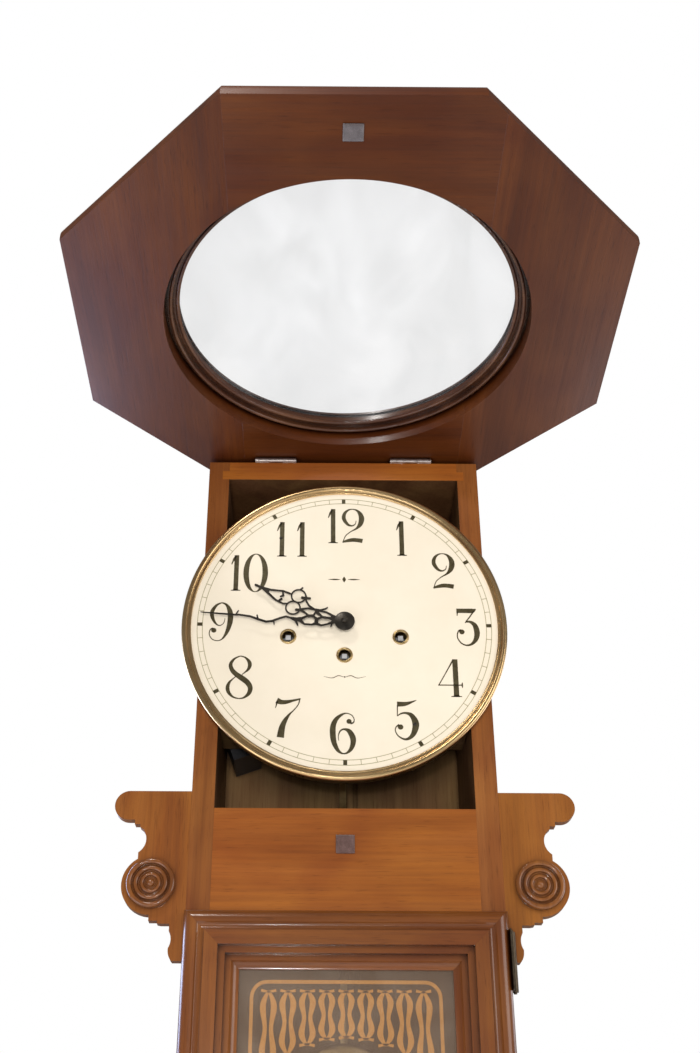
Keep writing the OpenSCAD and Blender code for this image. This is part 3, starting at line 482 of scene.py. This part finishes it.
# ---- Gold border and arched fret on the back of the door glass ----
pane_low, pane_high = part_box("door_glass")
rail_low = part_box("door_rail_top")[0]
stile_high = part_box("door_stile_left")[1]
sight_half, sight_top = -stile_high.x, rail_low.z  # half width and top of the glass that shows
GILT_GAP, GILT_FACE = 0.02 * MM, 0.12 * MM
SIDE_MARGIN, TOP_MARGIN = 11, 9  # mm from the edge of the glass that shows to the border's line
LINE, CORNER = 1.5, 13  # the border's half width and corner radius in mm
pane_middle = Vector((0, 0, pane_low.z / 2 + pane_high.z / 2))
gilt = Sheet(pane_middle, pane_high.y + GILT_GAP, pane_high.y + GILT_FACE)
half_x = sight_half / MM - SIDE_MARGIN
half_z = (sight_top - gilt.middle.z) / MM - TOP_MARGIN
arc = [i * QUARTER / 6 for i in range(7)]
for sx in (-1, 1):
    gilt.stroke([(sx * half_x, z, LINE) for z in (-half_z + CORNER, 0, half_z - CORNER)], steps=2)
    for sz in (-1, 1):
        gilt.stroke([(sx * (half_x - CORNER * (1 - math.cos(a))),
                      sz * (half_z - CORNER * (1 - math.sin(a))), LINE) for a in arc], steps=2)
for sz in (-1, 1):
    gilt.stroke([(x, sz * half_z, LINE) for x in (-half_x + CORNER, 0, half_x - CORNER)], steps=2)
FRETS, FRET_STEP, FRET_TOP = 9, 16.4, half_z - 7
BAR_HALF = 6.4
for i in range(FRETS):
    x = (i - (FRETS - 1) / 2) * FRET_STEP
    drop = 38 + 24 * (x / (FRET_STEP * (FRETS - 1) / 2)) ** 2  # the frets grow longer away from the middle
    low, mid = FRET_TOP - drop, FRET_TOP - drop / 2
    for s in (-1, 1):
        gilt.stroke([(x, FRET_TOP, 0.8), (x + s * 4.6, FRET_TOP - drop * 0.2, 2.5), (x + s * 2.6, mid, 1.7),
                     (x + s * 4.6, low + drop * 0.2, 2.5), (x, low, 0.8)])
    for z, dip in ((FRET_TOP, -1.0), (low, 1.0)):
        gilt.stroke([(x - BAR_HALF, z, 1.2), (x, z + dip, 0.9), (x + BAR_HALF, z, 1.2)])
gilt.piece("door_gilt_fret", gold, "door", "brass")


# ---- Felt pads ----

def felt_pad(name, node, body, normal, material):
    """A soft square pad in place of its CAD solid, crowned, uneven and rounded at its edges."""
    pts = [v.co.copy() for v in nodes[node].data.vertices]
    centre = sum(pts, Vector()) / len(pts)
    normal = normal.normalized()
    across = Vector((1, 0, 0))
    along = normal.cross(across).normalized()
    reach = [max(abs((p - centre).dot(axis)) for p in pts) for axis in (across, along, normal)]
    steps, edge_power = 18, 14
    verts, faces = [], []
    for side in (1, -1):
        for i in range(steps + 1):
            for j in range(steps + 1):
                u, v = 2 * i / steps - 1, 2 * j / steps - 1
                fall = max(abs(u), abs(v)) ** edge_power
                wob = 0.035 * math.sin(9 * u + 4 * v) * math.cos(7 * v)
                crown = 0.10 * (u * u + v * v) / 2
                depth = reach[2] * (1 - 0.75 * fall - crown + wob * (1 - fall) * 0.6 - 0.05)
                edge = 1 - 0.02 * (1 + math.sin(23 * (u if abs(v) > abs(u) else v)))
                verts.append(centre + across * u * reach[0] * edge + along * v * reach[1] * edge
                             + normal * depth * side)
    row, size = steps + 1, (steps + 1) ** 2
    for i in range(steps):
        for j in range(steps):
            a, b, c, d = i * row + j, (i + 1) * row + j, (i + 1) * row + j + 1, i * row + j + 1
            faces.append((a, b, c, d))
            faces.append((size + d, size + c, size + b, size + a))
    rim = [i * row for i in range(steps)] + [steps * row + j for j in range(steps)]
    rim += [i * row + steps for i in range(steps, 0, -1)] + list(range(steps, 0, -1))
    for a, b in zip(rim, rim[1:] + rim[:1]):
        faces.append((b, a, size + a, size + b))
    mesh = bpy.data.meshes.new(name)
    mesh.from_pydata(verts, [], faces)
    mesh.materials.append(material)
    for polygon in mesh.polygons:
        polygon.use_smooth = True
    obj = add(name, mesh)
    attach(obj, body)
    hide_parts(node)


felt_pad("rail_felt_pad", "rail_pad", "case", Vector((0, -1, 0)), rail_felt)
hood_inward = Vector((0, math.cos(HOOD_LIFT), -math.sin(HOOD_LIFT)))
felt_pad("hood_felt_pad", "hood_pad", "hood", hood_inward, hood_felt)

# The block that holds the chime rods is cast iron: its faces are the foremost, the rearmost and
# those that reach the rear.
NEAR = 0.5 * MM
rods = nodes["chime_rods"].data
rods.materials.append(cast_iron)
block_front = min(v.co.y for v in rods.vertices)
block_back = max(v.co.y for v in rods.vertices)
for polygon in rods.polygons:
    ends = min(polygon.center.y - block_front, block_back - polygon.center.y) < NEAR
    long_side = max(rods.vertices[v].co.y for v in polygon.vertices) > block_back - NEAR
    if ends or long_side:
        polygon.material_index = 1


# ---- Room, lights and camera ----

FLOOR_DROP, FLOOR_HALF = 1.0, 4
FLOOR_COLOUR = (0.93, 0.93, 0.92)
pale = Graph("pale_floor", Roughness=0.7)
cloud = pale.noise(pale.coords, 2.0, 3.0)
pale.set(pale.shader, {"Base Color": pale.ramp(cloud, [(0.3, [0.98 * c for c in FLOOR_COLOUR]),
                                                       (0.7, FLOOR_COLOUR)])})
floor_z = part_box("apron")[0].z - FLOOR_DROP
mesh = bpy.data.meshes.new("floor")
mesh.from_pydata([(x * FLOOR_HALF, y * FLOOR_HALF, floor_z) for x, y in ((-1, -1), (1, -1), (1, 1), (-1, 1))],
                 [], [(0, 1, 2, 3)])
mesh.materials.append(pale.material)
floor = add("floor", mesh)


def area_light(name, place, target, size, power, colour=(1, 1, 1), glossy=True):
    """A round lamp out of the camera's sight; glossy says whether reflections show it."""
    light = bpy.data.lights.new(name, "AREA")
    light.shape, light.size, light.energy, light.color = "DISK", size, power, colour
    obj = add(name, light)
    obj.location = place
    obj.rotation_euler = (Vector(target) - Vector(place)).to_track_quat("-Z", "Y").to_euler()
    obj.visible_camera = False
    obj.visible_glossy = glossy


area_light("key", (-0.06, -2.1, -0.66), (0, -0.14, -0.3), 0.6, 23, (1.0, 0.985, 0.96), glossy=False)
area_light("fill_low_left", (-1.3, -1.2, -1.5), (0, -0.3, 0.0), 1.2, 7, (0.94, 0.96, 1.05))
area_light("strip_above", (-0.35, -1.1, 0.95), (0, -0.14, -0.5), 0.24, 7, (1.0, 0.98, 0.95))
area_light("strip_below", (0.2, -0.9, -1.9), (0, -0.14, -0.5), 0.24, 5, (1.0, 0.98, 0.95))
area_light("fill_right", (1.6, -1.4, -0.2), (0, -0.2, -0.3), 1.2, 9)
area_light("flash", (-0.08, -1.25, -0.60), (0, -0.14, -0.4), 0.03, 1.6)
# Light that comes back off the wall on each side of the case.
area_light("wall_left", (-0.62, 0.12, -0.25), (-0.45, -0.9, 0.05), 0.6, 4.6, (0.70, 0.86, 1.30))
area_light("wall_right", (0.62, 0.12, -0.25), (0.45, -0.9, 0.05), 0.6, 1.8, (0.95, 0.93, 1.0))

world = bpy.data.worlds.new("studio")
world.use_nodes = True
bpy.context.scene.world = world
tree = world.node_tree
background = tree.nodes["Background"]
background.inputs["Color"].default_value = (1, 1, 1, 1)
# The room's brightness as it lights the part, as reflections show it and as the camera sees it.
AMBIENT, MIRRORED, BACKDROP = 0.42, 0.18, 1.0
seen = tree.nodes.new("ShaderNodeLightPath")
previous = AMBIENT
for ray, level in (("Is Glossy Ray", MIRRORED), ("Is Camera Ray", BACKDROP)):
    strength = tree.nodes.new("ShaderNodeMix")
    tree.links.new(seen.outputs[ray], strength.inputs["Factor"])
    if isinstance(previous, float):
        strength.inputs["A"].default_value = previous
    else:
        tree.links.new(previous, strength.inputs["A"])
    strength.inputs["B"].default_value = level
    previous = strength.outputs["Result"]
tree.links.new(previous, background.inputs["Strength"])

# The photo's camera, solved from the dial's ellipse, the case's edges and the hood's corners.
CAMERA_FROM_DIAL = Vector((-0.0268, -1.12077, -0.54652))
PITCH, YAW, ROLL = math.radians(29.52), math.radians(0.16), math.radians(0.26)
camera = bpy.data.cameras.new("camera")
camera.sensor_fit, camera.sensor_width, camera.sensor_height = "AUTO", 36, 36
camera.lens, camera.shift_x, camera.shift_y = 43.94, 0.0282, 0.0182
camera.clip_start = 0.02
eye = add("camera", camera)
turn = (Matrix.Rotation(-YAW, 3, "Z") @ Matrix.Rotation(QUARTER + PITCH, 3, "X")
        @ Matrix.Rotation(ROLL, 3, "Z"))
eye.matrix_world = Matrix.LocRotScale(DIAL + CAMERA_FROM_DIAL, turn, None)
bpy.context.scene.camera = eye
bpy.context.scene.view_settings.view_transform = "Standard"
